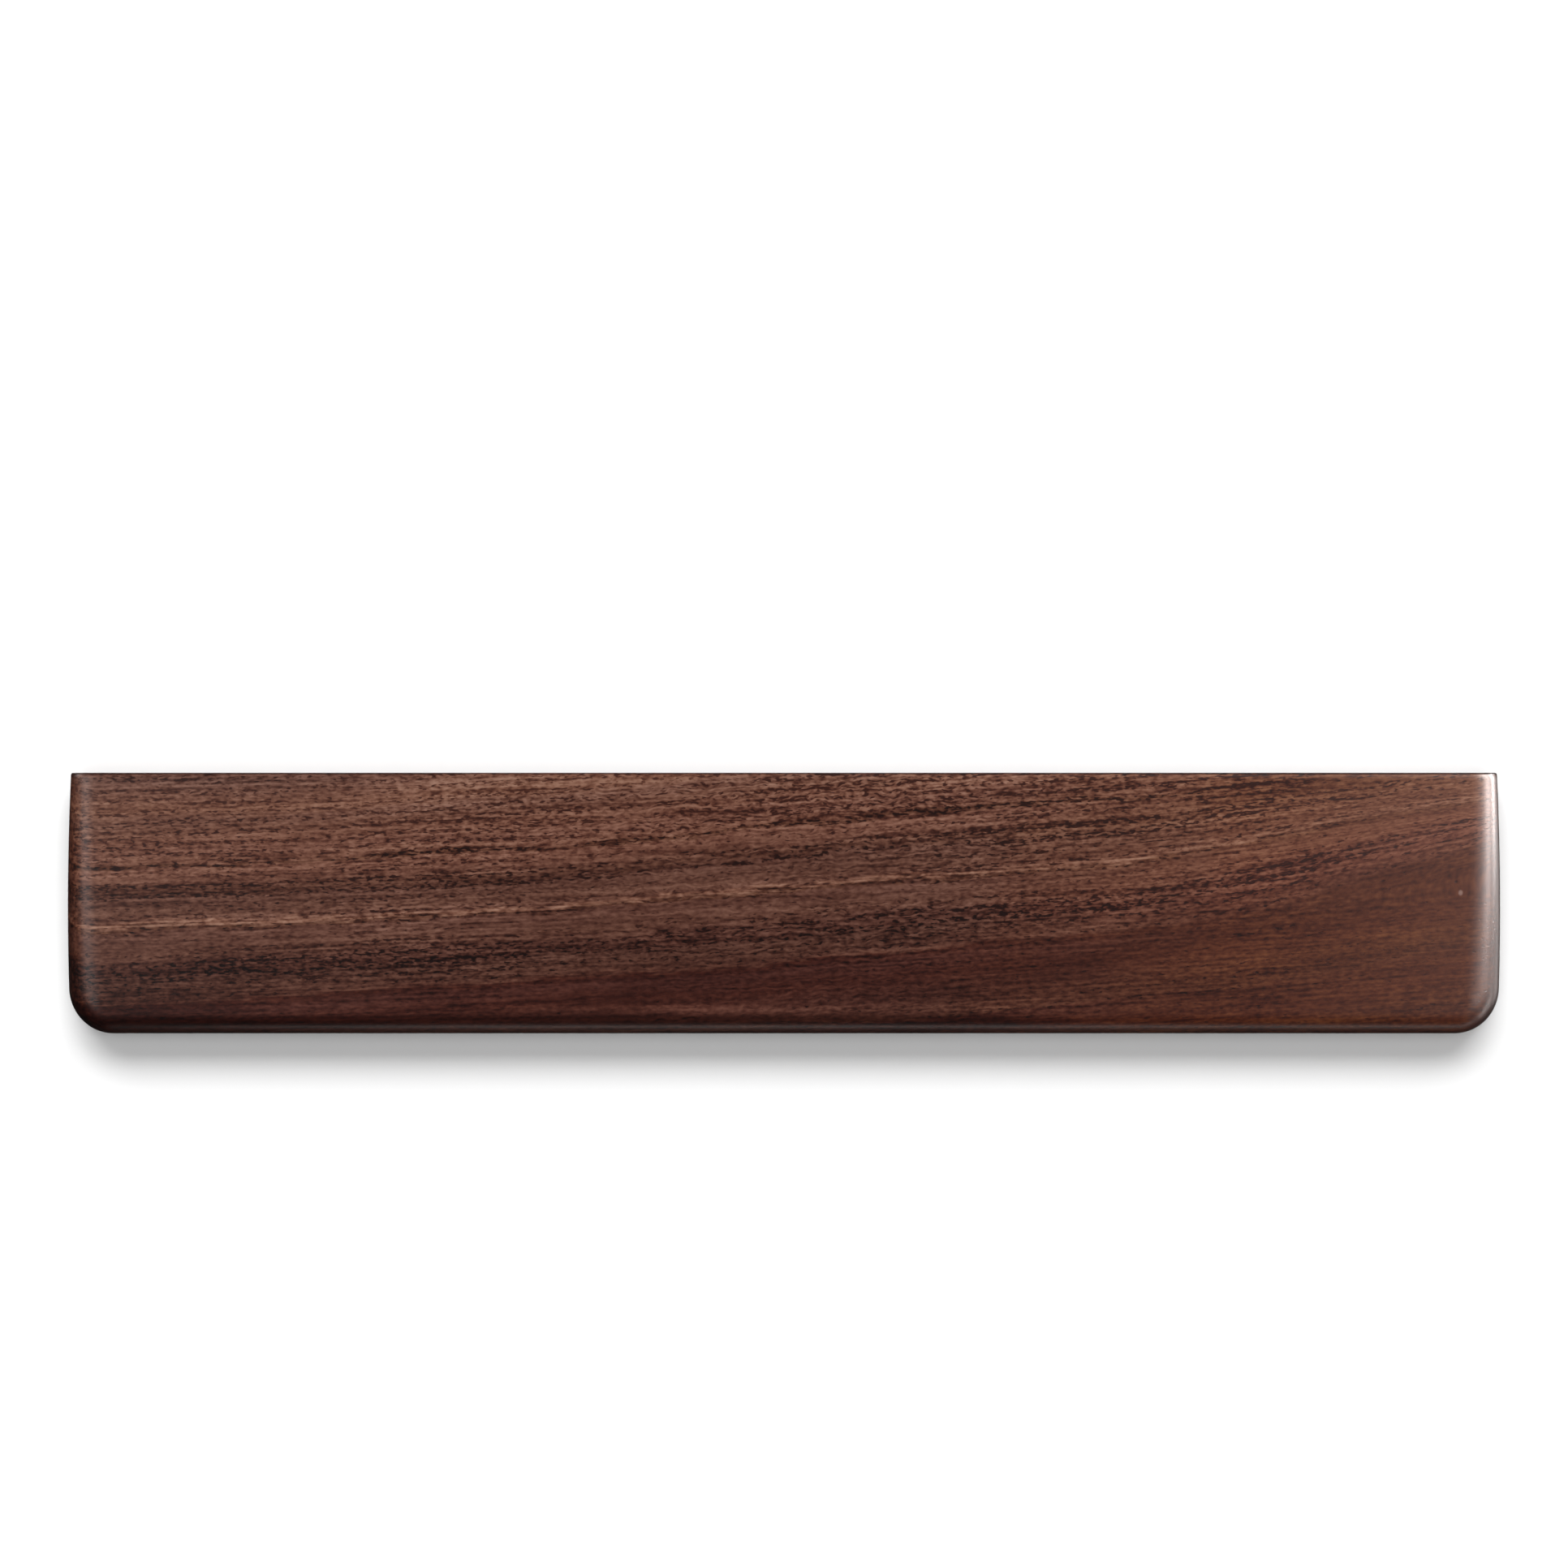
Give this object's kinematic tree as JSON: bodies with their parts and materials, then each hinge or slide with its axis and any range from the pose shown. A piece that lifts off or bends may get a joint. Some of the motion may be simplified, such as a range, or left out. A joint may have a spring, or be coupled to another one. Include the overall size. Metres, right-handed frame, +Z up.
{
  "type": "wrist rest",
  "caption": "Solid walnut wrist rest for a full-size keyboard, with a bull-nosed front, rounded ends, a square back and rubber feet.",
  "frame": {"origin": "on the desk, under the middle of the object's box", "axes": "+X along the rest to the typist's right, +Y away from the typist, towards the keyboard, +Z up"},
  "size_m": [0.44, 0.08, 0.02],
  "materials": {
    "walnut": "dark walnut, oiled to a satin finish, with open pores",
    "rubber": "matt black moulded rubber",
    "adhesive": "cream double-sided foam adhesive"
  },
  "bodies": {
    "root": {"walnut_slab": "walnut", "rubber_foot_back_left": "rubber", "rubber_foot_back_middle": "rubber", "rubber_foot_back_right": "rubber", "rubber_foot_front_left": "rubber", "rubber_foot_front_middle": "rubber", "rubber_foot_front_right": "rubber", "adhesive_disc_back_left": "adhesive", "adhesive_disc_back_middle": "adhesive", "adhesive_disc_back_right": "adhesive", "adhesive_disc_front_left": "adhesive", "adhesive_disc_front_middle": "adhesive", "adhesive_disc_front_right": "adhesive"}
  },
  "joints": []
}
